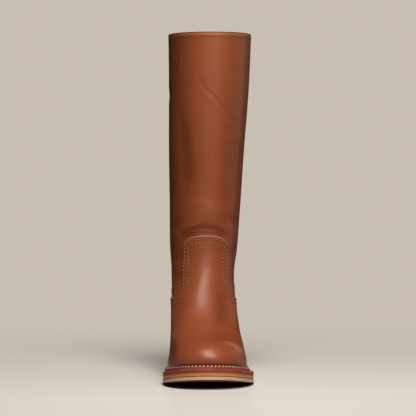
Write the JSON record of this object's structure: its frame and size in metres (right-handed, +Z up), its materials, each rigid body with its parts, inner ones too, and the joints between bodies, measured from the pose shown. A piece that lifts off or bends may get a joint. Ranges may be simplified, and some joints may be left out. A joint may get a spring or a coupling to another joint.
{
  "type": "knee-high boot",
  "caption": "Left knee-high pull-on leather boot with a round toe, a tall front tab, a stitched welt and a stacked block heel; hollow upper open at the collar.",
  "frame": {"origin": "on the floor under the middle of the boot's bounding box", "axes": "+Z up along the shaft; the toe points to -Y and the heel to +Y; +X is the lateral (little-toe) side of this left boot"},
  "size_m": [0.1005, 0.274, 0.3831],
  "materials": {
    "upper_leather": "semi-matt smooth cognac leather with fine grain",
    "welt_leather": "waxed reddish brown leather",
    "midsole_leather": "cut leather edge, lightly waxed",
    "sole_leather": "natural tan sole leather, matt",
    "heel_leather": "stacked leather edge, waxed",
    "heel_rubber": "dark brown rubber, matt",
    "insole_board": "natural veg-tanned leather, matt"
  },
  "bodies": {
    "root": {"upper": "upper_leather", "vamp": "upper_leather", "counter": "upper_leather", "side_seam_medial": "upper_leather", "side_seam_lateral": "upper_leather", "welt": "welt_leather", "midsole": "midsole_leather", "outsole": "sole_leather", "insole": "insole_board", "heel_wedge": "heel_leather", "top_lift": "heel_rubber", "heel_lift_1": "heel_leather", "heel_lift_2": "heel_leather", "heel_lift_3": "heel_leather", "heel_lift_4": "heel_leather", "heel_lift_5": "heel_leather"}
  },
  "joints": []
}
